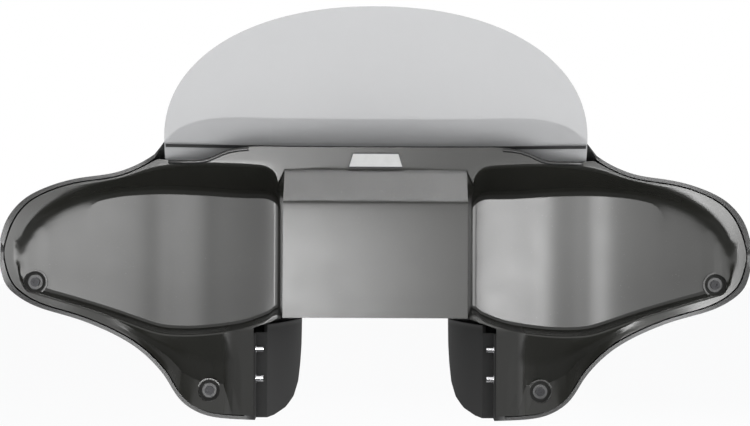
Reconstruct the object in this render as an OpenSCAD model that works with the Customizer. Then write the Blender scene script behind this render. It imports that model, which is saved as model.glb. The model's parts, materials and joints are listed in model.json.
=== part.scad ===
// Motorcycle fairing: two moulded shells, a raked windshield and their fasteners.
// Frame: X to the right as the rider sees it, Y forward, Z up, in millimetres.
// The origin is the middle of the four studs that carry the fairing on the fork.

/* [Overall] */
// Width over the two wing tips
overall_w = 866; // [840:1:900]
// Height of the outer shell's top lip above the studs
lip_z = 288; // [280:1:296]
// Depth of the legs below the studs
leg_drop = 65; // [60:1:70]
// How far the nose of the outer shell stands forward of the studs
nose_y = 186; // [170:1:200]
// Height of the wings' upper edge above the studs
wing_top_z = 215; // [208:1:220]
// Height of the wings' lower edge above the studs
wing_low_z = 51; // [44:1:56]
// How far the wing tips sweep back
tip_sweep = 34; // [20:1:44]

/* [Outer shell] */
// Wall of the outer shell
shell_t = 4; // [3:0.1:5]
// Half the width of the opening for the headlight
light_half_w = 91; // [86:1:96]
// Height of the centre of the opening's arch
light_z = 60; // [52:1:66]
// Half the width between the two mounting pads
pad_half_w = 140; // [137:0.5:142]
// Depth of the step beside each pad
pad_step = 13; // [10:0.5:15]
// Radius of the moulded screw bosses
boss_r = 8; // [7:0.5:9]

/* [Inner panel] */
// Wall of the inner panel
panel_t = 3.5; // [3:0.1:4.5]
// Gap between the shell's rim and the panel's edge
rim_gap = 1.6; // [1.2:0.1:2.4]
// Half the width of the central box
box_half_w = 106; // [100:1:108]
// How far the box stands out from the band above it
box_out = 42; // [32:1:52]
// Height of the box's flat face
box_face_h = 133; // [124:1:137]
// Height of the box face's top edge above the studs
box_top_z = 190; // [186:1:194]
// Height of the pocket faces' top edge above the studs
pocket_top_z = 201; // [197:1:205]
// Depth of the two pockets beside the box
pocket_d = 62; // [40:1:72]
// Depth of the band's top edge below the shell's top lip
band_drop = 34; // [32:1:38]
// Height of the band along the top
band_h = 24; // [20:1:28]
// Diameter of the recess around each panel screw
recess_d = 25; // [22:0.5:27]

/* [Windshield] */
// Height of the windshield above the band
shield_rise = 156; // [110:1:190]
// Half the width of the windshield
shield_half_w = 246; // [238:1:247]
// Thickness of the windshield
shield_t = 3; // [2:0.1:4]
// Rake of the windshield from the vertical
rake = 40; // [38:0.5:42]
// Thickness of the rubber seal
seal_t = 1.5; // [1:0.1:2.5]
// Thickness of the retaining strip
strip_t = 2; // [1.5:0.1:3]

/* [Fasteners] */
// Distance between the two studs of one pad
stud_pitch = 34.6; // [30:0.2:40]
// Diameter of the studs
stud_d = 8; // [6:0.5:9]
// Free length of the studs
stud_free = 9; // [7:0.5:14]
// Diameter of the panel screws
screw_d = 6; // [5:0.5:7]
// Diameter of the panel screws' washers
washer_d = 17; // [14:0.5:19]
// Distance of the outer windshield screws from the middle
shield_screw_x = 120; // [90:1:160]

/* [Badge] */
// Mean width of the badge plate
badge_w = 60; // [50:1:70]
// Height of the badge plate
badge_h = 17.6; // [14:0.2:19]
// Thickness of the badge plate
badge_t = 1.5; // [1:0.1:2.5]

/* [Hidden] */
$fn = 48;
half_w = overall_w / 2;
tip_z = 133;
band_top_z = lip_z - band_drop;
post_x = shield_half_w + 4;
rim_y0 = -10;
lip_y = 10;
lip_sag = 54;
knee_z = 226;
clear = 0.3;
bore_gap = 0.6;
far = 2 * nose_y;
ray = 1 / cos(rake);

// Y offsets of the windshield's stack, along the normal, from the shell's outside
seal_d = shell_t + clear;
shield_d = seal_d + seal_t + clear;
strip_d = shield_d + shield_t + clear;
stack_d = strip_d + strip_t;

// Places between the pads and the wing tips, as a share of the way
function outboard(t) = pad_half_w + (half_w - pad_half_w) * t;

// Where the panel screws sit, with the level of each recess's floor
wing_screw_in = 38;
wing_screw_up = 44.5;
leg_screw_up = 33;
wing_screw = [half_w - wing_screw_in, wing_low_z + wing_screw_up, -24];
leg_screw = [outboard(0.1863), leg_screw_up - leg_drop, 5];
floor_t = 4;

// Plain helpers
function mix(a, b, t) = a + (b - a) * t;
function ease(a, b, x) = let (t = max(0, min(1, (x - a) / (b - a)))) t * t * (3 - 2 * t);
function spline(p, t) = let (
    i = min(floor(t), len(p) - 2), f = t - i,
    a = p[max(i - 1, 0)], b = p[i], c = p[i + 1], d = p[min(i + 2, len(p) - 1)]
  ) b + f * 0.5 * (c - a + f * (2 * a - 5 * b + 4 * c - d + f * (3 * (b - c) + d - a)));
function curve(p) = [for (i = [0 : 6 * (len(p) - 1)]) spline(p, i / 6)];
function bezier(a, b, c, d, t) =
  pow(1 - t, 3) * a + 3 * t * pow(1 - t, 2) * b + 3 * t * t * (1 - t) * c + pow(t, 3) * d;

// Both outlines of the fairing, from the middle to the right-hand tip
crown_in = 155;
shoulder_in = 70;
top_line = curve([[0, lip_z], [post_x - crown_in, lip_z], [post_x - shoulder_in, lip_z],
  [post_x - 28, lip_z - 9], [post_x - 3, lip_z - 29], [post_x + 12, wing_top_z + 27],
  [outboard(0.546), wing_top_z + 8.5], [outboard(0.734), wing_top_z],
  [outboard(0.887), wing_top_z - 18], [half_w - 9, tip_z + 39], [half_w, tip_z + 13]]);
low_line = curve([[0, -leg_drop], [light_half_w, -leg_drop], [outboard(0.034), -leg_drop],
  [outboard(0.205), 5 - leg_drop], [outboard(0.3), 23 - leg_drop],
  [outboard(0.369), wing_low_z - 61], [outboard(0.4915), wing_low_z - 27],
  [outboard(0.683), wing_low_z], [outboard(0.86), wing_low_z + 16],
  [half_w - 9, tip_z - 44], [half_w, tip_z - 19]]);
function top_z(x) = lookup(abs(x), top_line);
function low_z(x) = lookup(abs(x), low_line);
function stretch(x, f) = let (slope = (lookup(abs(x) + 2, f) - lookup(abs(x) - 2, f)) / 4)
  min(2.2, sqrt(1 + slope * slope));
function inset_top(x, d) = max(top_z(x) - d * stretch(x, top_line),
  mix(low_z(x), top_z(x), 0.5 + 0.6 / max(d, 2)));
function inset_low(x, d) = min(low_z(x) + d * stretch(x, low_line),
  mix(low_z(x), top_z(x), 0.5 - 0.6 / max(d, 2)));
function pull(x, d) = x - sign(x) * d * pow(abs(x) / half_w, 12);

// The rim's sweep, and the raked sheet that the windshield lies on
function rim_y(x) = rim_y0 - tip_sweep * pow(abs(x) / half_w, 3);
function lean_y(x, z) = lip_y - lip_sag * pow(x / post_x, 2) + (lip_z - z) * tan(rake);
function dome(x) = let (s = abs(x) / half_w)
  (nose_y - rim_y0 - 14) * (1 - pow(s, 1.8)) + 14 * sqrt(1 - pow(s, 10));

// Outer shell: one column of its skin at x, d inside the outer face
function shell_column(x, d) = let (
    w = 1 - ease(post_x - 6, post_x + 14, abs(x)), rim = rim_y(x), px = pull(x, d),
    zt = mix(inset_top(x, d), top_z(x), w), zb = inset_low(x, d),
    bulge = dome(x), yn = rim + max(bulge - d, 0.4 * bulge), zn = mix(zb, zt, 0.47),
    zk = mix(zt - 0.05 * (zt - zb), knee_z, w),
    top = [mix(rim, lean_y(x, zt), w) - w * d * ray, zt],
    knee = [mix(rim + 0.25 * (yn - rim), lean_y(x, zk), w) - w * d * ray, zk],
    nose = [yn, zn], low = [rim, zb],
    way = [mix(0.8, sin(rake), w), -mix(0.6, cos(rake), w)],
    k1 = knee + way * 0.42 * norm(nose - knee), k2 = nose + [0, 0.5 * (zk - zn)],
    n1 = nose - [0, 0.8 * (zn - zb)], n2 = low + [0.75 * (yn - rim), 0]
  ) [for (q = concat(
      [for (t = [0, 0.5]) mix(top, knee, t)],
      [for (t = [0 : 0.2 : 0.81]) bezier(knee, k1, k2, nose, t)],
      [for (t = [0 : 0.125 : 1]) bezier(nose, n1, n2, low, t)])) [px, q[0], q[1]]];

// A closed solid between two grids of points of one size, a in front of b along Y
module slab(a, b) {
  n = len(a);
  m = len(a[0]);
  s = n * m;
  points = concat([for (r = a) for (p = r) p], [for (r = b) for (p = r) p]);
  skins = [for (i = [0 : n - 2]) for (j = [0 : m - 2])
    let (p = i * m + j, a = p + 1, b = p + m, c = p + m + 1)
    each i >= (n - 1) / 2
      ? [[p, a, b], [a, c, b], [s + p, s + b, s + a], [s + a, s + b, s + c]]
      : [[p, a, c], [p, c, b], [s + p, s + c, s + a], [s + p, s + b, s + c]]];
  ends = [for (j = [0 : m - 2]) let (q = (n - 1) * m + j)
    each [[j, s + j, s + j + 1], [j, s + j + 1, j + 1],
      [q, s + q + 1, s + q], [q, q + 1, s + q + 1]]];
  sides = [for (i = [0 : n - 2]) let (p = i * m, q = i * m + m - 1)
    each [[p, s + p + m, s + p], [p, p + m, s + p + m],
      [q, s + q, s + q + m], [q, s + q + m, q + m]]];
  polyhedron(points = points, faces = concat(skins, ends, sides));
}

// Columns of both shells, closer together where the form turns
half_x = [each [0 : 20 : post_x - 30], each [for (d = [-18, -10, -4, 2, 8, 16, 30]) post_x + d],
  each [post_x + 50 : 20 : half_w - 50],
  each [for (d = [38, 28, 20, 14, 8, 4, 1.5, 0]) half_w - d]];
shell_x = concat([for (i = [len(half_x) - 1 : -1 : 1]) -half_x[i]], half_x);

module each_side() {
  children();
  mirror([1, 0, 0]) children();
}

// A cylinder forward along Y, from y0 to y1
module along_y(x, z, r, y0, y1) {
  translate([x, y0, z]) rotate([-90, 0, 0]) cylinder(r = r, h = y1 - y0);
}

// Plan of one leg's inner wall: pad, step and the sweep to the headlight
wall_end_y = nose_y + 4;
wall_top_z = wing_low_z - 6;
pad_top_z = wall_top_z - 9;
pad_y = 12;
pad_back_y = -8;
step_half_w = pad_half_w - pad_step;
function wall_line(off) = [for (t = [0 : 0.125 : 1])
  bezier([step_half_w + off, pad_y], [step_half_w - 14 + off, pad_y + 48],
    [light_half_w + off, 0.6 * nose_y], [light_half_w + off, wall_end_y], t)];
function gap_side() = concat([[pad_half_w, -60], [pad_half_w, pad_y]], wall_line(0));

module leg_wall() {
  inner = wall_line(0);
  outer = wall_line(shell_t);
  back = [for (i = [len(outer) - 1 : -1 : 1]) outer[i]];
  low = -leg_drop - 10;
  translate([0, 0, low]) linear_extrude(height = wall_top_z - low)
    polygon(concat(inner, back, [[step_half_w + shell_t, pad_y + shell_t]]));
  translate([0, 0, low]) linear_extrude(height = pad_top_z - low)
    polygon([[pad_half_w, pad_back_y - shell_t], [pad_half_w, pad_y], [step_half_w, pad_y],
      [step_half_w, pad_y + shell_t], [pad_half_w + shell_t, pad_y + shell_t],
      [pad_half_w + shell_t, pad_back_y], [pad_half_w + 12, pad_back_y],
      [pad_half_w + 12, pad_back_y - shell_t]]);
}

module light_gap() {
  right = gap_side();
  left = [for (i = [len(right) - 1 : -1 : 0]) [-right[i][0], right[i][1]]];
  translate([0, 0, -2 * leg_drop]) linear_extrude(height = 2 * leg_drop + light_z)
    polygon(concat(right, [[light_half_w, far], [-light_half_w, far]], left));
  along_y(0, light_z, light_half_w, nose_y / 2, far);
}

module stud_places() {
  for (z = [-0.5, 0.5]) translate([pad_half_w, 0, z * stud_pitch]) rotate([0, 90, 0]) children();
}

module screw_boss(p) {
  along_y(p[0], p[1], boss_r, p[2] + floor_t + clear, nose_y);
}

module outer_shell() {
  middle = [for (x = shell_x) shell_column(x, shell_t / 2)];
  color([0.05, 0.05, 0.06]) difference() {
    union() {
      slab([for (x = shell_x) shell_column(x, 0)], [for (x = shell_x) shell_column(x, shell_t)]);
      intersection() {
        union() {
          each_side() leg_wall();
          each_side() screw_boss(wing_screw);
          each_side() screw_boss(leg_screw);
        }
        slab(middle, [for (c = middle) [for (p = c) [p[0], 2 * band_y - tip_sweep, p[2]]]]);
      }
    }
    light_gap();
    each_side() stud_places() cylinder(d = stud_d + bore_gap, h = 30, center = true);
    each_side() insert_hole(wing_screw, insert_h + 1);
    each_side() insert_hole(leg_screw, insert_h + 1);
    shield_holes(shield_screw_d + bore_gap);
  }
}

// Inner panel: the lines that its columns follow, from the middle to the tip
band_y = -18;
box_y = band_y - box_out;
box_return = 34;
box_low_z = box_top_z - box_face_h;
band_low_z = band_top_z - band_h;
wall_in = 8;
pocket_x = box_half_w + wall_in;
pocket_end = half_w - 31;
rim_flat = half_w - 12;
corner_r = 20;
wall_r = 6;
edge_in = shell_t + rim_gap;
strip_end = pad_half_w + 16;
bore_run = 40;
gap_half_w = pad_half_w + rim_gap;
band_line = curve([[0, band_top_z], [post_x - crown_in, band_top_z], [post_x - 100, band_top_z],
  [post_x - 72, band_top_z - 6], [post_x - 48, band_top_z - 15], [half_w, band_top_z - 15]]);
lip_line = curve([[0, band_low_z], [pocket_x, band_low_z], [outboard(0.068), band_low_z + 2],
  [outboard(0.222), band_low_z + 3], [outboard(0.324), band_low_z + 1],
  [outboard(0.416), wing_top_z + 11.5], [outboard(0.539), wing_top_z + 0.5],
  [outboard(0.659), wing_top_z - 7], [outboard(0.771), wing_top_z - 20],
  [outboard(0.884), wing_top_z - 46], [half_w - 18, tip_z + 11], [half_w, tip_z - 12]]);
roof_line = curve([[0, pocket_top_z], [pocket_x, pocket_top_z], [outboard(0.075), pocket_top_z],
  [outboard(0.239), pocket_top_z + 3], [outboard(0.4), pocket_top_z + 4],
  [outboard(0.556), wing_top_z - 13], [outboard(0.628), wing_top_z - 18],
  [outboard(0.778), wing_top_z - 34], [outboard(0.884), tip_z + 23],
  [half_w - 18, tip_z - 12], [half_w, tip_z - 20]]);
crest_line = curve([[0, box_low_z], [box_half_w, box_low_z + 4], [pocket_x + 14, wing_low_z + 1],
  [outboard(0.062), wing_low_z - 9.5], [outboard(0.218), wing_low_z - 15.5],
  [outboard(0.338), wing_low_z - 15.5], [outboard(0.42), wing_low_z - 11],
  [outboard(0.539), wing_low_z + 2], [outboard(0.69), wing_low_z + 17],
  [outboard(0.846), wing_low_z + 31], [half_w - 25, wing_low_z + 37], [half_w, tip_z - 30]]);
function panel_top(x) = mix(lookup(x, band_line), inset_top(x, edge_in),
  ease(post_x - 4, post_x + 12, x));
function edge_y(x) = mix(band_y, rim_y(x) - 1 - 1.5 * pow(x / half_w, 12),
  ease(post_x - 60, post_x + 6, x));
function leg_y(x) = mix(band_y + 2, edge_y(x), ease(strip_end, strip_end + 100, x));
function crest_y(x) = mix(band_y - 2, edge_y(x), ease(outboard(0.3), outboard(0.85), x));
function taper(x) = 1 - pow(max(0, min(1, (x - pocket_x) / (pocket_end - pocket_x))), 1.4);
function round_corner(x, r) = let (c = max(0, min(r, pocket_x + r - x))) r - sqrt(r * r - c * c);
function depth(x) = mix(7, pocket_d, taper(x)) * (1 - ease(rim_flat - 12, rim_flat, x))
  - round_corner(x, wall_r) - 3 * ease(post_x - 50, post_x - 10, x) * (1 - ease(post_x, post_x + 40, x));
function scoop(x) = 23 * ease(strip_end, strip_end + 34, x)
  * (1 - ease(strip_end + 59, strip_end + 144, x));

// A rounded corner at b on the way from a to c, as three points
function rounded(a, b, c, r) = let (
    u = a - b, v = c - b, k = min(r, 0.4 * norm(u), 0.4 * norm(v)),
    p = k * u / norm(u), q = k * v / norm(v)) [b + p, b + 0.28 * (p + q), b + q];

// Inner panel: one column of its skin at x, d behind the face that the rider sees
function panel_column(x, d) = let (
    a = abs(x), boxed = a < box_half_w + 1, flat = ease(rim_flat - 12, rim_flat, a),
    px = pull(x, edge_in) - sign(x) * d * ease(70, 100, a) * (1 - ease(124, 150, a)),
    zt = panel_top(a), zb = inset_low(x, edge_in), ye = edge_y(a) + d, t = d * taper(a),
    drop = round_corner(a, corner_r),
    yf = boxed ? box_y + d : ye + depth(a), yk = boxed ? yf : crest_y(a) + d,
    lip = boxed ? band_low_z - 2 - 0.4 * d : mix(lookup(a, lip_line) - drop + t, mix(zb, zt, 0.66), flat),
    roof = boxed ? box_top_z - 0.3 * d : mix(lookup(a, roof_line) - drop + t, mix(zb, zt, 0.58), flat),
    foot = boxed ? box_low_z : mix(lookup(a, crest_line) + 3 - t, mix(zb, zt, 0.42), flat),
    shelf = boxed ? box_low_z - 5 : mix(lookup(a, crest_line) - t, mix(zb, zt, 0.34), flat),
    top = [ye, zt], edge = [ye, lip], in = [yf, roof], out = [yf, foot], crest = [yk, shelf],
    low = [boxed ? yf : leg_y(a) + d, zb]
  ) [for (q = concat([top], rounded(top, edge, in, boxed ? 1.5 : 3),
      rounded(edge, in, out, boxed ? 2.5 : 7), rounded(in, out, crest, 5), rounded(out, crest, low, 2.5),
      [for (f = [0.35, 0.65, 1]) [boxed ? yf : mix(yk, leg_y(a) + d, f)
        + scoop(a) * sin(180 * pow(f, 1.3)), mix(shelf, zb, f)]])) [px, q[0], q[1]]];

panel_half_x = [each [0 : 20 : 80], box_half_w - 12, box_half_w, pocket_x, pocket_x + 1,
  pocket_x + 3, pocket_x + 6, pocket_x + 12, pocket_x + corner_r, pad_half_w + 5, strip_end,
  each [strip_end + 10 : 12 : post_x - 11], each [for (d = [-4, 4, 14, 30]) post_x + d],
  each [post_x + 50 : 20 : half_w - 46],
  each [for (d = [38, 28, 20, 16, 12, 8, 4, 1.5, 0]) half_w - d]];
panel_x = concat([for (i = [len(panel_half_x) - 1 : -1 : 1]) -panel_half_x[i]], panel_half_x);

module screw_recess(p) {
  along_y(p[0], p[1], recess_d / 2, box_y - bore_run, p[2]);
  along_y(p[0], p[1], screw_d / 2 + clear, box_y - bore_run, p[2] + bore_run);
}

module recess_boss(p) {
  r = recess_d / 2 + 2;
  along_y(p[0], p[1], r, p[2] - 5, p[2]);
  translate([p[0], p[2], p[1]]) rotate([-90, 0, 0]) cylinder(r1 = r, r2 = r - floor_t, h = floor_t);
}

module inner_panel() {
  color([0.06, 0.06, 0.07]) difference() {
    union() {
      slab([for (x = panel_x) panel_column(x, panel_t)], [for (x = panel_x) panel_column(x, 0)]);
      each_side() recess_boss(wing_screw);
      each_side() recess_boss(leg_screw);
      translate([-box_half_w + 2, box_y + 1, box_low_z])
        cube([2 * box_half_w - 4, box_return, panel_t]);
    }
    each_side() screw_recess(wing_screw);
    each_side() screw_recess(leg_screw);
    translate([0, nose_y, 0]) rotate([90, 0, 0]) linear_extrude(height = 2 * nose_y)
      polygon([[-gap_half_w, -2 * leg_drop], [-gap_half_w, wing_low_z - 8],
        [-pocket_x - 2, box_low_z - 5], [-box_half_w, box_low_z],
        [box_half_w, box_low_z], [pocket_x + 2, box_low_z - 5],
        [gap_half_w, wing_low_z - 8], [gap_half_w, -2 * leg_drop]]);
  }
}

// A sheet of the windshield's stack, from the depth d0 to d1 below the shell's outside
function stack_column(x, z0, z1, d) = [for (z = [z1, z0]) [x, lean_y(x, z) - d * ray, z]];
module stack_sheet(xs, low, high, d0, d1) {
  slab([for (i = [0 : len(xs) - 1]) stack_column(xs[i], low[i], high[i], d0)],
    [for (i = [0 : len(xs) - 1]) stack_column(xs[i], low[i], high[i], d1)]);
}

shield_low_z = band_top_z - 22;
screw_z = band_top_z - 9;
seal_inset = 14;
strip_inset = 2;
rail_z = band_top_z - 1;
rail_h = 3.5;
tab_half_w = 13;
shield_screw_d = 5;
shield_washer_d = 14;
shield_washer_t = 1.5;
shield_head_t = 3;
nut_w = 9.2;
nut_t = 4;
shield_screws = [-shield_screw_x, 0, shield_screw_x];

// Puts its children on a windshield screw's axis, z forward, at the depth d
module at_shield_screw(x, d) {
  slope = 2 * lip_sag * x / (post_x * post_x);
  turn = atan(slope);
  tilt = atan(tan(rake) * cos(turn));
  translate([x, lean_y(x, screw_z), screw_z]) rotate([0, 0, -turn])
    rotate([tilt - 90, 0, 0]) translate([0, 0, -d]) children();
}

module shield_holes(d) {
  for (x = shield_screws) at_shield_screw(x, 0) cylinder(d = d, h = 50, center = true);
}

sheet_x = [for (a = [-90 : 6 : 90]) sin(a)];

module windshield() {
  xs = [for (s = sheet_x) s * shield_half_w];
  tops = [for (s = sheet_x) band_top_z
    + shield_rise * pow(max(0, 1 - pow(abs(s), 2.15)), 1 / 2.15)];
  color([0.85, 0.85, 0.86, 0.5]) difference() {
    stack_sheet(xs, [for (x = xs) shield_low_z], tops, shield_d, shield_d + shield_t);
    shield_holes(shield_screw_d + 1.6);
  }
}

module windshield_seal() {
  xs = [for (s = sheet_x) s * (shield_half_w - seal_inset)];
  color([0.1, 0.1, 0.1]) difference() {
    stack_sheet(xs, [for (x = xs) shield_low_z + 4], [for (x = xs) top_z(x) - 4],
      seal_d, seal_d + seal_t);
    shield_holes(shield_screw_d + 1.6);
  }
}

// Room beside a tab of the strip, below its rail
module rail_gap(x, w) {
  translate([x, 0, shield_low_z]) cube([w, far, 2 * (rail_z - shield_low_z)], center = true);
}

// The strip: a slim rail with a tab behind each screw
module windshield_strip() {
  xs = [for (s = sheet_x) s * (shield_half_w - strip_inset)];
  color([0.2, 0.2, 0.21]) difference() {
    stack_sheet(xs, [for (x = xs) shield_low_z + 5], [for (x = xs) rail_z + rail_h],
      strip_d, stack_d);
    for (s = [-1, 1]) {
      rail_gap(s * shield_screw_x / 2, shield_screw_x - 2 * tab_half_w);
      rail_gap(s * (shield_screw_x + tab_half_w + post_x / 2), post_x);
    }
    shield_holes(shield_screw_d + bore_gap);
  }
}

module windshield_screws() {
  color([0.1, 0.1, 0.1]) for (x = shield_screws) at_shield_screw(x, 0) union() {
    translate([0, 0, shield_washer_t + clear]) cylinder(d = 2 * shield_screw_d, h = shield_head_t);
    translate([0, 0, -stack_d - nut_t - 2])
      cylinder(d = shield_screw_d, h = stack_d + nut_t + 2 + shield_washer_t + 1);
  }
}

module windshield_washers() {
  color([0.15, 0.15, 0.15]) for (x = shield_screws) at_shield_screw(x, 0) difference() {
    translate([0, 0, clear]) cylinder(d = shield_washer_d, h = shield_washer_t);
    cylinder(d = shield_screw_d + 0.4, h = 9, center = true);
  }
}

module windshield_nuts() {
  color([0.7, 0.7, 0.7]) for (x = shield_screws) at_shield_screw(x, 0) difference() {
    translate([0, 0, -stack_d - clear - nut_t]) cylinder(d = nut_w, h = nut_t, $fn = 6);
    translate([0, 0, -2 * stack_d]) cylinder(d = shield_screw_d + 0.1, h = 2 * stack_d);
  }
}

// One panel screw: head on its washer in the recess, shank down the boss's insert
head_d = screw_d + 4.6;
head_h = 3.3;
socket_w = 4.6;
washer_t = 1.5;
insert_h = 12;
insert_r = boss_r - 3.5;
module panel_screw(p) {
  difference() {
    union() {
      along_y(p[0], p[1], head_d / 2, p[2] - washer_t - head_h, p[2] - washer_t);
      along_y(p[0], p[1], screw_d / 2, p[2] - washer_t - 1, p[2] + floor_t + insert_h);
    }
    translate([p[0], p[2] - washer_t - head_h, p[1]]) rotate([90, 0, 0])
      cylinder(d = socket_w, h = head_h, center = true, $fn = 6);
  }
}

module panel_washer(p) {
  difference() {
    along_y(p[0], p[1], washer_d / 2, p[2] - washer_t, p[2]);
    along_y(p[0], p[1], (screw_d + clear) / 2, p[2] - 9, p[2] + 9);
  }
}

module insert_hole(p, h) {
  along_y(p[0], p[1], insert_r, p[2] + floor_t + clear, p[2] + floor_t + clear + h);
}

module boss_inserts() {
  color([0.75, 0.6, 0.3]) for (p = [wing_screw, leg_screw]) each_side() difference() {
    insert_hole(p, insert_h);
    along_y(p[0], p[1], screw_d / 2 + 0.05, box_y - 30, nose_y);
  }
}

// Backing plate and studs of one mounting pad, made for the right-hand side
plate_t = 2.5;
plate_w = 15;
stud_head_t = 4;
spacer_t = 1.2;
module backing_plate() {
  color([0.55, 0.56, 0.58]) difference() {
    translate([pad_half_w + shell_t, -plate_w / 2, -stud_pitch / 2 - 10])
      cube([plate_t, plate_w, stud_pitch + 20]);
    stud_places() cylinder(d = stud_d + bore_gap, h = 30, center = true);
  }
}

module bracket_studs() {
  color([0.85, 0.85, 0.86]) stud_places() union() {
    translate([0, 0, -stud_free]) cylinder(d = stud_d, h = stud_free);
    translate([0, 0, -spacer_t]) cylinder(d = stud_d + 0.4, h = spacer_t + shell_t + plate_t + 1);
    translate([0, 0, shell_t + plate_t]) cylinder(d = stud_d + 5, h = stud_head_t, $fn = 6);
  }
}

module stud_washers() {
  color([0.8, 0.8, 0.82]) stud_places() difference() {
    translate([0, 0, -spacer_t]) cylinder(d = stud_d + 4, h = spacer_t);
    cylinder(d = stud_d + bore_gap, h = 9, center = true);
  }
}

badge_drop = 15;
slant = 2.5;
module badge_plate() {
  mid_z = band_top_z - badge_drop;
  color([0.85, 0.85, 0.86]) translate([0, band_y, mid_z]) rotate([90, 0, 0])
    linear_extrude(height = badge_t) polygon([[-badge_w / 2 - slant, -badge_h / 2],
      [badge_w / 2 + slant, -badge_h / 2], [badge_w / 2 - slant, badge_h / 2],
      [slant - badge_w / 2, badge_h / 2]]);
}

outer_shell();
inner_panel();
windshield();
windshield_seal();
windshield_strip();
windshield_screws();
windshield_washers();
windshield_nuts();
color([0.1, 0.1, 0.1]) each_side() panel_screw(wing_screw);  // wing_screws
color([0.1, 0.1, 0.1]) each_side() panel_screw(leg_screw);  // leg_screws
color([0.12, 0.12, 0.12]) each_side() panel_washer(wing_screw);  // wing_screw_washers
color([0.12, 0.12, 0.12]) each_side() panel_washer(leg_screw);  // leg_screw_washers
boss_inserts();
mirror([1, 0, 0]) backing_plate();  // backing_plate_left
backing_plate();  // backing_plate_right
mirror([1, 0, 0]) bracket_studs();  // bracket_studs_left
bracket_studs();  // bracket_studs_right
mirror([1, 0, 0]) stud_washers();  // stud_washers_left
stud_washers();  // stud_washers_right
badge_plate();
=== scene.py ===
"""Studio scene of a motorcycle fairing: glossy shells, a hazy windshield and their fasteners."""
from __future__ import annotations

import json
import logging
import math
from dataclasses import dataclass, field
from enum import Enum
from functools import cached_property
from typing import Callable

import bmesh
import bpy
from mathutils import Matrix, Vector

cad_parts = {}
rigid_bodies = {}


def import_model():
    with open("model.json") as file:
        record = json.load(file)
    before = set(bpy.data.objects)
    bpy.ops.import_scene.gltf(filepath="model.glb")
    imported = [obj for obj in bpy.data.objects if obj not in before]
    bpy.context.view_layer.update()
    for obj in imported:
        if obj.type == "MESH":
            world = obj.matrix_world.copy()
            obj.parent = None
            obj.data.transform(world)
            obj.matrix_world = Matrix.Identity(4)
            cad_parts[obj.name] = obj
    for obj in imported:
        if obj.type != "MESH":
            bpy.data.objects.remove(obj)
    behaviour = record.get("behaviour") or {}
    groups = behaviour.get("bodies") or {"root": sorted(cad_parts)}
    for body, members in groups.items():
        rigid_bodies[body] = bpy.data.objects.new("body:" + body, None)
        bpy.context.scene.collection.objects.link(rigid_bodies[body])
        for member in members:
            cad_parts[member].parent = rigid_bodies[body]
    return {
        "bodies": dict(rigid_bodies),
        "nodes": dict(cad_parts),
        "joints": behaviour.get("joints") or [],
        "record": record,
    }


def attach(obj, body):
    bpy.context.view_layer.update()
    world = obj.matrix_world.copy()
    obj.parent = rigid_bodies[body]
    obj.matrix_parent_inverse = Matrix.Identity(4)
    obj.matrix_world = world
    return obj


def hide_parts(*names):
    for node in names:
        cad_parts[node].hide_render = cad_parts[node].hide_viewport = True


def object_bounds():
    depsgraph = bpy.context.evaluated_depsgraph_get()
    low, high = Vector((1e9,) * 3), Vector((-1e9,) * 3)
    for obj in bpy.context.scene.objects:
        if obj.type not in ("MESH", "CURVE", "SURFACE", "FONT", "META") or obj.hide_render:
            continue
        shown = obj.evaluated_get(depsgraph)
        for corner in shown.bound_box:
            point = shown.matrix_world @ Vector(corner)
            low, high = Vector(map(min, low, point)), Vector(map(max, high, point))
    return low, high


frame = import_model()
CAD_BOX = [list(corner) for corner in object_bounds()]

log = logging.getLogger("fairing")

Colour = tuple[float, float, float]
Point = tuple[float, float, float]
Points = tuple[tuple[float, float], ...]

# The photograph's frame, and where the studs' middle and the mirror line lie in it
FRAME_W, FRAME_H = 750, 426
STUDS_ROW = 364.0
MIRROR_COLUMN = 375.5
METRES_PER_PIXEL = 0.001175

# Sizes in metres of what the finishes show: the waves, grime and dust of the gelcoat, the haze
# and ripples of the windshield's film
WAVE_SIZE, GRIME_SIZE, DUST_SIZE = 0.09, 0.03, 0.0015
HAZE_SIZE, RIPPLE_SIZE = 0.12, 0.05
# Noise above the first value starts to show as dust, and above the second is all dust
DUST_RANGE = (0.62, 0.75)
# Roughness of the painted shade in the screw recesses and on the inner leg strips
SHADE_ROUGHNESS = 0.85
# X, Z and radius of the inner panel's screw recesses, on both sides of the middle, where shade is
# painted
PANEL_WELLS = ((0.395, 0.0955, 0.0122), (0.1945, -0.032, 0.0122))
# Corners of the CAD solids that lie closer than this are one corner
WELD = 2e-5


class Kind(Enum):
    """The families of finish on the object."""

    GELCOAT = "gelcoat"
    FILM = "film"
    MOULDED = "moulded"
    METAL = "metal"


@dataclass(frozen=True)
class Finish:
    """One finish: its colour and how it scatters light.

    Args:
        name: Name of the material.
        kind: Family of the finish.
        colour: Linear base colour.
        rough: Lowest and highest roughness.
        grain: Size of the surface grain in metres.
        relief: Strength of the bump, from 0 to 1.
        metallic: 1 for bare metal.
        alpha: Share of light that the finish stops.
        shaded_wells: X, Z and radius of each screw recess, on both sides of the middle, where shade
            is painted as darker, rougher gelcoat.
        shaded_legs: Half width and top of the inner strip down each leg, in metres, where shade is
            painted as darker, rougher gelcoat.
    """

    name: str
    kind: Kind
    colour: Colour
    rough: tuple[float, float]
    grain: float = 0.004
    relief: float = 0.05
    metallic: float = 0.0
    alpha: float = 1.0
    shaded_wells: tuple[tuple[float, float, float], ...] = ()
    shaded_legs: tuple[float, float] | None = None


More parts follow.
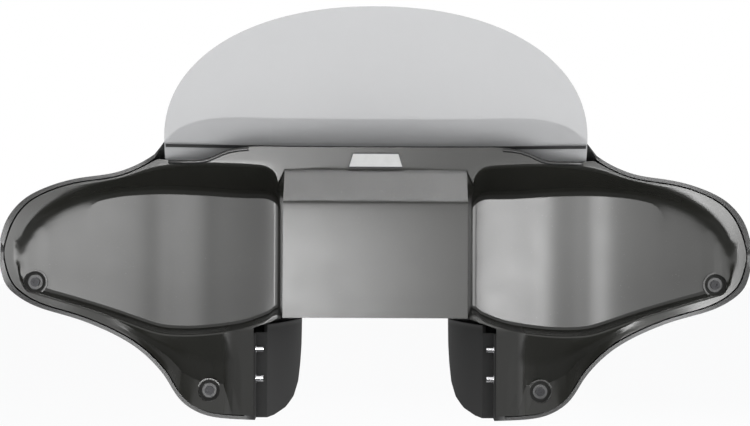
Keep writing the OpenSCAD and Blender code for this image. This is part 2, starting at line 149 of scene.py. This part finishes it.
FINISHES: dict[str, Finish] = {
    "outer_shell": Finish(
        "gelcoat_outer", Kind.GELCOAT, (0.018, 0.018, 0.0175), (0.24, 0.27), 0.003, 0.05,
        shaded_legs=(0.1415, 0.05),
    ),
    "inner_panel": Finish(
        "gelcoat_inner", Kind.GELCOAT, (0.019, 0.019, 0.0160), (0.22, 0.27), 0.003, 0.04,
        shaded_wells=PANEL_WELLS, shaded_legs=(0.165, 0.05),
    ),
    "windshield": Finish("hazy_sheet", Kind.FILM, (0.82, 0.82, 0.82), (0.25, 0.32), alpha=0.66),
    "seal_rubber": Finish(
        "seal_rubber", Kind.MOULDED, (0.02, 0.02, 0.02), (0.6, 0.8), 0.0015, 0.3,
    ),
    "strip": Finish(
        "strip_plastic", Kind.MOULDED, (0.05, 0.05, 0.05), (0.35, 0.5), 0.0015, 0.2,
    ),
    "black_steel": Finish(
        "black_steel", Kind.METAL, (0.02, 0.02, 0.022), (0.3, 0.42), 0.001, 0.2, metallic=0.6,
    ),
    "black_nylon": Finish(
        "black_nylon", Kind.MOULDED, (0.06, 0.06, 0.06), (0.3, 0.4), 0.001, 0.15,
    ),
    "zinc": Finish(
        "zinc_plate", Kind.METAL, (0.62, 0.63, 0.65), (0.25, 0.4), 0.001, 0.2, metallic=1.0,
    ),
    "brass": Finish(
        "brass_insert", Kind.METAL, (0.72, 0.5, 0.22), (0.2, 0.35), 0.001, 0.2, metallic=1.0,
    ),
    "stud_chrome": Finish(
        "stud_chrome", Kind.METAL, (0.9, 0.9, 0.92), (0.08, 0.2), 0.001, 0.2, metallic=1.0,
    ),
    "badge_metal": Finish(
        "badge_metal", Kind.METAL, (0.84, 0.84, 0.82), (0.42, 0.55), 0.0008, 0.15,
    ),
    "badge_edge": Finish(
        "badge_edge", Kind.METAL, (0.03, 0.03, 0.03), (0.3, 0.42), 0.0008, 0.15, metallic=0.3,
    ),
}


class Wire:
    """A node output that takes part in plain arithmetic."""

    def __init__(self, tree: bpy.types.NodeTree, socket: bpy.types.NodeSocket) -> None:
        self.tree = tree
        self.socket = socket

    def _math(self, operation: str, *others: Wire | float) -> Wire:
        """Makes a Math node of this value and others."""
        node = self.tree.nodes.new("ShaderNodeMath")
        node.operation = operation
        for place, value in zip(node.inputs, (self, *others)):
            if isinstance(value, Wire):
                self.tree.links.new(value.socket, place)
            else:
                place.default_value = value
        return Wire(self.tree, node.outputs[0])

    def __add__(self, other: Wire | float) -> Wire:
        return self._math("ADD", other)

    __radd__ = __add__

    def __mul__(self, other: Wire | float) -> Wire:
        return self._math("MULTIPLY", other)

    __rmul__ = __mul__

    def __sub__(self, other: Wire | float) -> Wire:
        return self._math("SUBTRACT", other)

    def __rsub__(self, other: float) -> Wire:
        return (self * -1.0) + other

    def power(self, exponent: float) -> Wire:
        """Raises the value to a power."""
        return self._math("POWER", exponent)

    def absolute(self) -> Wire:
        """Returns the value without its sign."""
        return self._math("ABSOLUTE")

    def angle_over(self, other: Wire) -> Wire:
        """Returns the angle whose tangent is this value over another."""
        return self._math("ARCTAN2", other)

    def capped(self) -> Wire:
        """Clamps the value between 0 and 1."""
        made = self._math("ADD", 0.0)
        made.socket.node.use_clamp = True
        return made

    def between(self, low: float, high: float) -> Wire:
        """Maps low to 0 and high to 1, clamped and eased."""
        node = self.tree.nodes.new("ShaderNodeMapRange")
        node.interpolation_type = "SMOOTHSTEP"
        node.inputs["From Min"].default_value = low
        node.inputs["From Max"].default_value = high
        self.tree.links.new(self.socket, node.inputs["Value"])
        return Wire(self.tree, node.outputs["Result"])


class Graph:
    """A node tree, with one method for every node but arithmetic."""

    def __init__(self, tree: bpy.types.NodeTree) -> None:
        self.tree = tree

    def plug(self, value: object, target: bpy.types.NodeSocket) -> None:
        """Links a wire or an output to a socket, or sets a plain value on it.

        Args:
            value: What the socket takes; a colour gets an alpha of 1.
            target: The socket.
        """
        if isinstance(value, Wire):
            value = value.socket
        if isinstance(value, bpy.types.NodeSocket):
            self.tree.links.new(value, target)
        elif target.type == "RGBA":
            target.default_value = (*value, 1)
        else:
            target.default_value = value

    def node(self, kind: str, links: dict | None = None, **settings) -> bpy.types.Node:
        """Makes a node.

        Args:
            kind: Blender's name of the node type.
            links: Name or number of an input to a wire, an output or a plain value.
            settings: Attributes of the node.

        Returns:
            The new node.
        """
        made = self.tree.nodes.new(kind)
        for name, value in settings.items():
            setattr(made, name, value)
        for name, value in (links or {}).items():
            self.plug(value, made.inputs[name])
        return made

    @cached_property
    def place(self) -> bpy.types.NodeSocket:
        """The object's own coordinates."""
        return self.node("ShaderNodeTexCoord").outputs["Object"]

    def axes(self) -> tuple[Wire, ...]:
        """Returns X, Y and Z of the object's own coordinates."""
        parts = self.node("ShaderNodeSeparateXYZ", {"Vector": self.place})
        return tuple(Wire(self.tree, parts.outputs[axis]) for axis in "XYZ")

    def blend(self, factor: Wire, low: object, high: object) -> bpy.types.NodeSocket:
        """Returns the colour between two colours or outputs, by a factor."""
        return self.node("ShaderNodeMix", {0: factor, 6: low, 7: high}, data_type="RGBA").outputs[2]

    def seen_directly(self) -> Wire:
        """Returns 1 for rays from the camera, off gloss and through glass, and 0 for others."""
        path = self.node("ShaderNodeLightPath")
        names = ("Is Camera Ray", "Is Glossy Ray", "Is Transmission Ray")
        camera, gloss, glass = (Wire(self.tree, path.outputs[name]) for name in names)
        return (camera + gloss + glass).capped()

    def end(self, factor: Wire, first: bpy.types.Node, second: bpy.types.Node, last: str) -> None:
        """Mixes two shaders into the tree's output.

        Args:
            factor: Share of the second.
            first: Shader that shows where the factor is 0.
            second: Shader that shows where it is 1.
            last: Name of the output node.
        """
        mix = self.node(
            "ShaderNodeMixShader", {0: factor, 1: first.outputs[0], 2: second.outputs[0]}
        )
        self.plug(mix.outputs[0], self.tree.nodes[last].inputs["Surface"])


class Surface(Graph):
    """A material and its Principled shader."""

    def __init__(self, name: str) -> None:
        self.material = bpy.data.materials.new(name)
        self.material.use_nodes = True
        super().__init__(self.material.node_tree)
        self.shader = self.tree.nodes["Principled BSDF"]

    def feed(self, **values: object) -> None:
        """Gives the shader's sockets, named with underscores for spaces, a value or a link."""
        for name, value in values.items():
            self.plug(value, self.shader.inputs[name.replace("_", " ")])


class Painter(Surface):
    """Builds the material of one finish."""

    def __init__(self, finish: Finish) -> None:
        super().__init__(finish.name)
        self.finish = finish

    def noise(self, size: float, detail: float = 3.0, stretch: Point = (1, 1, 1)) -> Wire:
        """Returns noise with features of a size in metres."""
        mapped = self.node("ShaderNodeMapping", {"Vector": self.place, "Scale": stretch})
        made = self.node(
            "ShaderNodeTexNoise",
            {"Vector": mapped.outputs[0], "Scale": 1.0 / size, "Detail": detail},
        )
        return Wire(self.tree, made.outputs[0])

    def shaded_wells(self, lip: float = 0.0004) -> Wire | float:
        """Returns 0 in the finish's screw recesses, where shade is painted, and 1 elsewhere.

        Args:
            lip: Width of the change at each recess's edge, in metres.

        Returns:
            The mask.
        """
        if not self.finish.shaded_wells:
            return 1.0
        across, _, up = self.axes()
        mask = 1.0
        for x, z, radius in self.finish.shaded_wells:
            side, height = across.absolute() - x, up - z
            apart = (side * side + height * height).power(0.5)
            mask = apart.between(radius, radius + lip) * mask
        return mask

    def shaded_legs(self, fade: float = 0.012) -> Wire | float:
        """Returns 0 on the inner strip down each leg, where shade is painted, and 1 elsewhere.

        Args:
            fade: Width of the change at the strips' edges, in metres.

        Returns:
            The mask.
        """
        if self.finish.shaded_legs is None:
            return 1.0
        half, top = self.finish.shaded_legs
        across, _, up = self.axes()
        beside = across.absolute().between(half, half + fade)
        above = up.between(top - fade, top)
        return 1.0 - (1.0 - beside) * (1.0 - above)

    def spread(self, amount: Wire) -> Wire:
        """Returns the finish's roughness, from its lowest to its highest value."""
        low, high = self.finish.rough
        return amount * (high - low) + low

    def bump(self, height: Wire, depth: float) -> None:
        """Gives the surface a relief of a depth in metres, at the finish's strength."""
        made = self.node(
            "ShaderNodeBump", {"Height": height, "Strength": self.finish.relief, "Distance": depth}
        )
        self.feed(Normal=made.outputs[0])


def shade(colour: Colour, factor: float) -> Colour:
    """Returns a colour scaled by a factor."""
    return tuple(min(1.0, c * factor) for c in colour)


def paint_gelcoat(p: Painter) -> None:
    """Glossy pigmented gelcoat with soft waves, orange peel, grime and a trace of dust, and painted
    shade, darker and rougher, in the screw recesses and on the inner leg strips.
    """
    f = p.finish
    waves = p.noise(WAVE_SIZE, detail=2)
    # Mask that is 0 where shade is painted: in the screw recesses and on the inner leg strips
    unshaded = p.shaded_wells() * p.shaded_legs()
    peel = p.noise(f.grain, detail=2)
    grime = p.noise(GRIME_SIZE, detail=5)
    dust = p.noise(DUST_SIZE, detail=4).between(*DUST_RANGE)
    # Where the mask is 0, painted shade: the base colour keeps its darkest value and the roughness
    # rises to the painted shade's value
    p.feed(
        Base_Color=p.blend((waves * 0.6 + dust * 0.4) * unshaded, f.colour, shade(f.colour, 1.9)),
        Roughness=(p.spread(grime) + dust * 0.03 - SHADE_ROUGHNESS) * unshaded + SHADE_ROUGHNESS,
        IOR=1.5,
    )
    p.bump(waves * 0.5 + peel * 0.012, depth=0.004)


def paint_film(p: Painter) -> None:
    """Clear sheet under a milky protective film."""
    f = p.finish
    haze = p.noise(HAZE_SIZE, detail=2)
    p.feed(
        Base_Color=p.blend(haze, shade(f.colour, 0.985), f.colour),
        Roughness=p.spread(haze), Alpha=f.alpha, IOR=1.49,
    )
    p.bump(p.noise(RIPPLE_SIZE, detail=2), depth=0.002)


def paint_moulded(p: Painter) -> None:
    """Dull rubber or satin plastic with a fine texture."""
    f = p.finish
    mottle = p.noise(f.grain * 6)
    fine = p.noise(f.grain)
    p.feed(
        Base_Color=p.blend(mottle, shade(f.colour, 0.75), shade(f.colour, 1.35)),
        Roughness=p.spread(fine),
    )
    p.bump(fine, depth=0.0005)


def paint_metal(p: Painter) -> None:
    """Turned or plated metal with fine marks and duller patches."""
    f = p.finish
    marks = p.noise(f.grain, detail=2, stretch=(0.15, 1, 1))
    patches = p.noise(f.grain * 12)
    p.feed(
        Base_Color=p.blend(patches, shade(f.colour, 0.8), f.colour),
        Roughness=p.spread(marks) + patches * 0.05,
        Metallic=f.metallic,
    )
    p.bump(marks, depth=0.0003)


RECIPES: dict[Kind, Callable[[Painter], None]] = {
    Kind.GELCOAT: paint_gelcoat,
    Kind.FILM: paint_film,
    Kind.MOULDED: paint_moulded,
    Kind.METAL: paint_metal,
}


class Wardrobe:
    """Makes each finish's material once and hands it out."""

    def __init__(self) -> None:
        self._made: dict[str, bpy.types.Material] = {}

    def get(self, slot: str) -> bpy.types.Material:
        """Returns the material of a record slot."""
        if slot not in self._made:
            painter = Painter(FINISHES[slot])
            RECIPES[painter.finish.kind](painter)
            self._made[slot] = painter.material
        return self._made[slot]


def new_object(name: str, data: bpy.types.ID) -> bpy.types.Object:
    """Makes an object at the origin."""
    obj = bpy.data.objects.new(name, data)
    bpy.context.collection.objects.link(obj)
    return obj


def mesh_object(name: str, bm: bmesh.types.BMesh, *finish: bpy.types.Material) -> bpy.types.Object:
    """Makes an object of a finished mesh.

    Args:
        name: Name of the object and its mesh.
        bm: The mesh, which is freed.
        finish: Its materials.

    Returns:
        The new object.
    """
    mesh = bpy.data.meshes.new(name)
    bm.to_mesh(mesh)
    bm.free()
    for material in finish:
        mesh.materials.append(material)
    return new_object(name, mesh)


def welded_copy(source: bpy.types.Object) -> bmesh.types.BMesh:
    """Returns a copy of a CAD node's mesh with its corners merged."""
    bm = bmesh.new()
    bm.from_mesh(source.data)
    bmesh.ops.remove_doubles(bm, verts=bm.verts, dist=WELD)
    return bm


@dataclass
class MouldedSkin:
    """A moulded piece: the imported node's own form, its facets melted into one smooth surface.

    Args:
        node: Name of the CAD node that the piece stands for.
        crease_angle: Angle in degrees above which an edge stays an edge.
        joint_angle: Most that two triangles of one quad may differ, in degrees.
        shape_angle: Most that a joined quad's corners may differ from square, in degrees.
        levels: Levels of subdivision.
        edge_radius: Radius of the edges that stay, in metres.
        edge_steps: Facets of those edges.
        edge_angle: Angle in degrees above which they are rounded.
        flat_weight: How far large faces rule the shading, from 0 to 100.
    """

    node: str
    crease_angle: float = 14.0
    joint_angle: float = 22.0
    shape_angle: float = 60.0
    levels: int = 2
    edge_radius: float = 0.0011
    edge_steps: int = 2
    edge_angle: float = 40.0
    flat_weight: int = 80

    def build(self, source: bpy.types.Object, material: bpy.types.Material) -> bpy.types.Object:
        """Makes the smooth piece.

        Args:
            source: The CAD node's object.
            material: Finish of the piece.

        Returns:
            The new object, in the node's place.
        """
        bm = welded_copy(source)
        bmesh.ops.dissolve_degenerate(bm, edges=bm.edges, dist=WELD / 2)
        bmesh.ops.join_triangles(
            bm,
            faces=bm.faces,
            angle_face_threshold=math.radians(self.joint_angle),
            angle_shape_threshold=math.radians(self.shape_angle),
        )
        crease = bm.edges.layers.float.new("crease_edge")
        limit = math.radians(self.crease_angle)
        for edge in bm.edges:
            if len(edge.link_faces) == 2 and edge.calc_face_angle(0) > limit:
                edge[crease] = 1.0
        for face in bm.faces:
            face.smooth = True
        log.info("%s: %d faces before subdivision", self.node, len(bm.faces))
        piece = mesh_object(self.node + "_skin", bm, material)
        self.finish(piece)
        return piece

    def finish(self, piece: bpy.types.Object) -> None:
        """Adds the modifiers that smooth the surface and round its edges."""
        melt = piece.modifiers.new("melt", "SUBSURF")
        melt.levels = melt.render_levels = self.levels
        edges = piece.modifiers.new("edges", "BEVEL")
        edges.width = self.edge_radius
        edges.segments = self.edge_steps
        edges.limit_method = "ANGLE"
        edges.angle_limit = math.radians(self.edge_angle)
        even = piece.modifiers.new("even", "WEIGHTED_NORMAL")
        even.keep_sharp = True
        even.weight = self.flat_weight


@dataclass
class Badge:
    """The bare badge plate: a dark bevelled rim round a pale sunken face.

    Args:
        rim: Width of the rim in metres.
        sink: Depth of the face below the rim.
        bevel: Radius of the rim's outer edges.
        flat_angle: Angle in degrees below which two faces of the node are one.
    """

    rim: float = 0.0011
    sink: float = 0.0003
    bevel: float = 0.0004
    flat_angle: float = 5.0

    def build(self, source: bpy.types.Object, edge: bpy.types.Material,
              face: bpy.types.Material) -> bpy.types.Object:
        """Makes the plate.

        Args:
            source: The CAD node's object.
            edge: Finish of the rim.
            face: Finish of the sunken face.

        Returns:
            The new object, in the node's place.
        """
        bm = welded_copy(source)
        bmesh.ops.dissolve_limit(bm, angle_limit=math.radians(self.flat_angle), verts=bm.verts,
                                 edges=bm.edges)
        bmesh.ops.bevel(bm, geom=bm.edges[:], offset=self.bevel, segments=2, profile=0.5,
                        affect="EDGES", material=-1)
        # The large face on the rider's side
        front = min(bm.faces, key=lambda f: f.calc_center_median().y - 100 * f.calc_area())
        bmesh.ops.inset_region(bm, faces=[front], thickness=self.rim)
        bmesh.ops.inset_region(bm, faces=[front], thickness=self.sink, depth=-self.sink)
        front.material_index = 1
        return mesh_object("badge_face", bm, edge, face)


@dataclass
class EdgeRoll:
    """The panel's rolled edge below one corner of the windshield.

    Args:
        path: X and Z of points along the roll, in metres, on the right-hand side.
        face_y: The panel's face that it stands on.
        radius: Half of its height.
        flat: Its depth as a share of its height.
        sides: Facets round it.
    """

    path: Points = (
        (0.1480, 0.2516), (0.1600, 0.2505), (0.1700, 0.2487), (0.1780, 0.2460), (0.1860, 0.2424),
        (0.1940, 0.2388), (0.2020, 0.2368), (0.2120, 0.2361), (0.2240, 0.2360), (0.2420, 0.2360),
    )
    face_y: float = -0.0180
    radius: float = 0.0024
    flat: float = 0.45
    sides: int = 12

    def build(self, name: str, side: int, material: bpy.types.Material) -> bpy.types.Object:
        """Makes the roll of one side.

        Args:
            name: Name of the object.
            side: 1 for the right-hand side and -1 for the left.
            material: Its finish.

        Returns:
            The new object.
        """
        bm = bmesh.new()
        ring = bmesh.ops.create_circle(
            bm, segments=self.sides, radius=self.radius, cap_ends=True
        )["verts"]
        start_x, start_z = self.path[0]
        bmesh.ops.scale(bm, vec=(1, self.flat, 1), verts=ring)
        bmesh.ops.rotate(bm, verts=ring, matrix=Matrix.Rotation(math.pi / 2, 3, "Y"))
        bmesh.ops.translate(bm, verts=ring, vec=(start_x, self.face_y, start_z))
        end = bm.faces[:]
        for (x0, z0), (x1, z1) in zip(self.path, self.path[1:]):
            made = bmesh.ops.extrude_face_region(bm, geom=end)["geom"]
            bmesh.ops.delete(bm, geom=end, context="FACES_ONLY")
            verts = [v for v in made if isinstance(v, bmesh.types.BMVert)]
            end = [f for f in made if isinstance(f, bmesh.types.BMFace)]
            bmesh.ops.translate(bm, verts=verts, vec=(x1 - x0, 0, z1 - z0))
        if side < 0:
            both = bm.verts[:] + bm.edges[:] + bm.faces[:]
            bmesh.ops.mirror(bm, geom=both, axis="X", merge_dist=-1)
            bmesh.ops.delete(bm, geom=[v for v in bm.verts if v.co.x > 0], context="VERTS")
        bmesh.ops.recalc_face_normals(bm, faces=bm.faces)
        for face in bm.faces:
            face.smooth = True
        return mesh_object(name, bm, material)


@dataclass
class Fairing:
    """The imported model's nodes and what is added to them.

    Args:
        wardrobe: Where the finishes come from.
        skins: The moulded nodes and how each is smoothed.
    """

    frame: dict
    wardrobe: Wardrobe = field(default_factory=Wardrobe)
    skins: tuple[MouldedSkin, ...] = (
        MouldedSkin("outer_shell", crease_angle=25.0, edge_radius=0.0018, edge_steps=4),
        MouldedSkin("inner_panel", edge_radius=0.0015, edge_steps=3),
        MouldedSkin("windshield"),
    )

    def slots(self) -> dict[str, str]:
        """Returns each node's record slot."""
        return {s["node"]: s["material_slot"] for s in self.frame["record"]["subparts"]}

    def dress(self) -> None:
        """Gives every node its finish."""
        for name, slot in self.slots().items():
            node = self.frame["nodes"][name]
            for place in node.material_slots:
                place.material = self.wardrobe.get(slot)
            log.info("%s takes %s", name, slot)

    def mould(self) -> None:
        """Builds the smooth pieces that stand for the moulded nodes."""
        slots = self.slots()
        for skin in self.skins:
            slot = slots[skin.node]
            piece = skin.build(self.frame["nodes"][skin.node], self.wardrobe.get(slot))
            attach(piece, "root")
            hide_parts(skin.node)

    def trim(self) -> None:
        """Adds the badge's rim and the panel's rolled edges."""
        badge = Badge().build(self.frame["nodes"]["badge_plate"], self.wardrobe.get("badge_edge"),
                              self.wardrobe.get("badge_metal"))
        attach(badge, "root")
        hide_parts("badge_plate")
        for name, side in (("edge_roll_left", -1), ("edge_roll_right", 1)):
            roll = EdgeRoll().build(name, side, self.wardrobe.get("outer_shell"))
            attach(roll, "root")


@dataclass(frozen=True)
class Softbox:
    """A rectangular area light that the camera doesn't see.

    Args:
        name: Name of the light.
        size: Width and height in metres.
        at: Its centre.
        aim: The point it faces.
        radiance: How bright its face looks.
        gloss_only: Whether only reflections show it.
    """

    name: str
    size: tuple[float, float]
    at: Point
    aim: Point
    radiance: float
    gloss_only: bool = False

    def hang(self) -> None:
        """Adds the light to the scene."""
        data = bpy.data.lights.new(self.name, "AREA")
        data.shape = "RECTANGLE"
        data.size, data.size_y = self.size
        data.energy = self.radiance * math.pi * self.size[0] * self.size[1]
        lamp = new_object(self.name, data)
        lamp.location = self.at
        sight = Vector(self.aim) - Vector(self.at)
        lamp.rotation_euler = sight.to_track_quat("-Z", "Y").to_euler()
        lamp.visible_camera = False
        lamp.visible_diffuse = not self.gloss_only


@dataclass(frozen=True)
class Sweep:
    """A panel: a line of points swept about the fairing, seen by no camera.

    Args:
        name: Name of the panel and its material.
        line: Radius and height of the line's points, in metres.
        start: Degrees to the right of the camera's side at which it starts.
        turn: Degrees that it is swept through.
        steps: Facets along the sweep.
    """

    name: str
    line: Points
    start: float
    turn: float
    steps: int = 48

    def stand(self) -> Surface:
        """Adds the panel to the room, where only gloss sees it.

        Returns:
            Its surface, to be dressed.
        """
        bm = bmesh.new()
        verts = [bm.verts.new((0, -radius, height)) for radius, height in self.line]
        edges = [bm.edges.new(pair) for pair in zip(verts, verts[1:])]
        turned = Matrix.Rotation(math.radians(self.start), 3, "Z")
        bmesh.ops.rotate(bm, verts=verts, matrix=turned)
        bmesh.ops.spin(bm, geom=verts + edges, axis=(0, 0, 1), cent=(0, 0, 0),
                       angle=math.radians(self.turn), steps=self.steps)
        surface = Surface(self.name)
        obj = mesh_object(self.name, bm, surface.material)
        obj.visible_camera = False
        obj.visible_shadow = False
        obj.visible_diffuse = False
        return surface


@dataclass(frozen=True)
class LightWall:
    """The graded light panel behind the camera, whose fall-off the satin gloss shows.

    Args:
        radius: Its distance from the fairing in metres.
        heights: Its lower and upper edge.
        fade: Height over which it fades out at each edge.
        lift: How much higher it stands at its sides.
        lift_yaw: Radians from the middle at which it starts and ends to rise.
        peak: Its brightest emission.
        levels: Degrees to the right, and the level there from 0 to 1.
    """

    radius: float = 3.2
    heights: tuple[float, float] = (-0.24, 0.27)
    fade: float = 0.12
    lift: float = 0.55
    lift_yaw: tuple[float, float] = (0.13, 0.22)
    peak: float = 38.0
    levels: Points = (
        (-80, 0.05), (-50, 0.06), (-28, 0.10), (-18, 0.15), (-14.5, 0.22), (-11.7, 0.33),
        (-9, 0.72), (-6.5, 1.0), (-4.5, 1.0), (-1.8, 0.50), (0.9, 0.14), (3.6, 0.04),
        (5.4, 0.0), (7.2, 0.0), (8.4, 0.0), (9.9, 0.14), (12.6, 0.165), (16.3, 0.18),
        (24, 0.21), (39, 0.26), (80, 0.28),
    )

    def stand(self) -> None:
        """Adds the panel to the scene."""
        half = self.levels[-1][0]
        low, high = self.heights
        line = ((self.radius, low), (self.radius, high + self.lift))
        lamp = Sweep("light_wall", line, start=-half, turn=2 * half).stand()
        side, depth, height = lamp.axes()
        yaw = side.angle_over(depth * -1.0)
        across = yaw * (0.5 / math.radians(half)) + 0.5
        ramp = lamp.node("ShaderNodeValToRGB", {0: across})
        ramp.color_ramp.interpolation = "B_SPLINE"
        stops = ramp.color_ramp.elements
        while len(stops) < len(self.levels):
            stops.new(0.5)
        for stop, (angle, level) in zip(stops, self.levels):
            stop.position = angle * 0.5 / half + 0.5
            stop.color = (level, level, level, 1)
        lift = yaw.absolute().between(*self.lift_yaw) * self.lift
        foot = height.between(low, low + self.fade)
        head = (height - lift).between(high, high - self.fade)
        lamp.feed(
            Base_Color=(0, 0, 0), Specular_IOR_Level=0, Emission_Strength=self.peak,
            Emission_Color=lamp.blend(foot * head, (0, 0, 0), ramp.outputs[0]),
        )


@dataclass
class Studio:
    """Camera, lights, floor and background.

    Args:
        camera_distance: From the studs to the camera, in metres.
        camera_roll: Degrees that the photograph is turned by.
        sensor: Width of the camera's sensor in millimetres.
        floor_drop: How far the floor lies below the fairing.
        floor_half: Half the width of the floor.
        floor_glow: How far the floor is white by itself where it is seen directly.
        room_light: Level of the room's plain light.
        cloth_grey: Grey of the dark cloths that only gloss sees.
        cloth_lift: How far they lie above the floor.
        back_radii: Where the cloth behind the camera starts and rises.
        back_top: Its upper edge.
        front_radius: Distance of the cloth before the fairing.
        front_top: Its upper edge.
        softboxes: The lamps.
    """

    camera_distance: float = 2.4
    camera_roll: float = 0.25
    sensor: float = 36.0
    floor_drop: float = 0.34
    floor_half: float = 14.0
    floor_glow: float = 0.8
    room_light: float = 0.85
    cloth_grey: float = 0.10
    cloth_lift: float = 0.01
    back_radii: tuple[float, float] = (0.12, 3.6)
    back_top: float = 0.95
    front_radius: float = 2.8
    front_top: float = 0.45
    softboxes: tuple[Softbox, ...] = (
        Softbox("top", (1.6, 0.7), (0, 0.1, 2.4), (0, 0, 0.15), 2.5),
        Softbox("top_gloss", (1.0, 0.5), (0, 0.1, 2.3), (0, 0, 0.15), 40.0, gloss_only=True),
        Softbox("front", (2.4, 1.2), (1.2, 3.2, 1.4), (0, 0, 0.1), 0.9),
    )

    @property
    def floor_z(self) -> float:
        """Height of the floor."""
        return CAD_BOX[0][2] - self.floor_drop

    def camera(self) -> None:
        """Stands the camera on the photograph's axis, square to the fairing."""
        data = bpy.data.cameras.new("camera")
        cam = new_object("camera", data)
        bpy.context.scene.camera = cam
        data.sensor_width = self.sensor
        data.lens = self.sensor * self.camera_distance / (FRAME_W * METRES_PER_PIXEL)
        data.clip_end = 50
        height = (STUDS_ROW - FRAME_H / 2) * METRES_PER_PIXEL
        side = (FRAME_W / 2 - MIRROR_COLUMN) * METRES_PER_PIXEL
        cam.location = (side, -self.camera_distance, height)
        cam.rotation_euler = (math.radians(90), math.radians(-self.camera_roll), 0)

    def lights(self) -> None:
        """Hangs the softboxes over and before the fairing, and stands the light panel."""
        for softbox in self.softboxes:
            softbox.hang()
        LightWall().stand()

    def cloths(self) -> None:
        """Hangs the dark cloths that gloss sees, as in any studio for black objects."""
        low = self.floor_z + self.cloth_lift
        near, far = self.back_radii
        back = ((near, low), (far, low), (far, self.back_top))
        front = ((self.front_radius, low), (self.front_radius, self.front_top))
        for cloth in (
            Sweep("drape_back", back, start=-85, turn=170),
            Sweep("drape_front", front, start=115, turn=130),
        ):
            cloth.stand().feed(Base_Color=(self.cloth_grey,) * 3, Roughness=0.95)

    def world(self) -> None:
        """Makes a white background for the camera, gloss and glass, and a dimmer room."""
        world = bpy.data.worlds.new("room")
        bpy.context.scene.world = world
        world.use_nodes = True
        graph = Graph(world.node_tree)
        room = graph.tree.nodes["Background"]
        graph.plug((0.97, 0.98, 1.0), room.inputs["Color"])
        graph.plug(self.room_light, room.inputs["Strength"])
        white = graph.node("ShaderNodeBackground", {"Color": (1, 1, 1)})
        graph.end(graph.seen_directly(), room, white, "World Output")

    def floor(self) -> None:
        """Lays a pale floor below the fairing, which its fork brackets hold up."""
        bm = bmesh.new()
        bmesh.ops.create_grid(bm, x_segments=1, y_segments=1, size=self.floor_half,
                              matrix=Matrix.Translation((0, 0, self.floor_z)))
        pale = Surface("floor")
        pale.feed(Base_Color=(0.93, 0.93, 0.93), Roughness=0.9)
        glow = pale.node("ShaderNodeEmission", {"Color": (1, 1, 1)})
        pale.end(pale.seen_directly() * self.floor_glow, pale.shader, glow, "Material Output")
        obj = mesh_object("floor", bm, pale.material)


def main() -> None:
    """Builds the scene."""
    logging.basicConfig(level=logging.INFO)
    bpy.context.scene.view_settings.view_transform = "Standard"
    studio = Studio()
    studio.camera()
    studio.world()
    studio.lights()
    studio.cloths()
    studio.floor()
    fairing = Fairing(frame)
    fairing.dress()
    fairing.mould()
    fairing.trim()


if __name__ == "__main__":
    main()
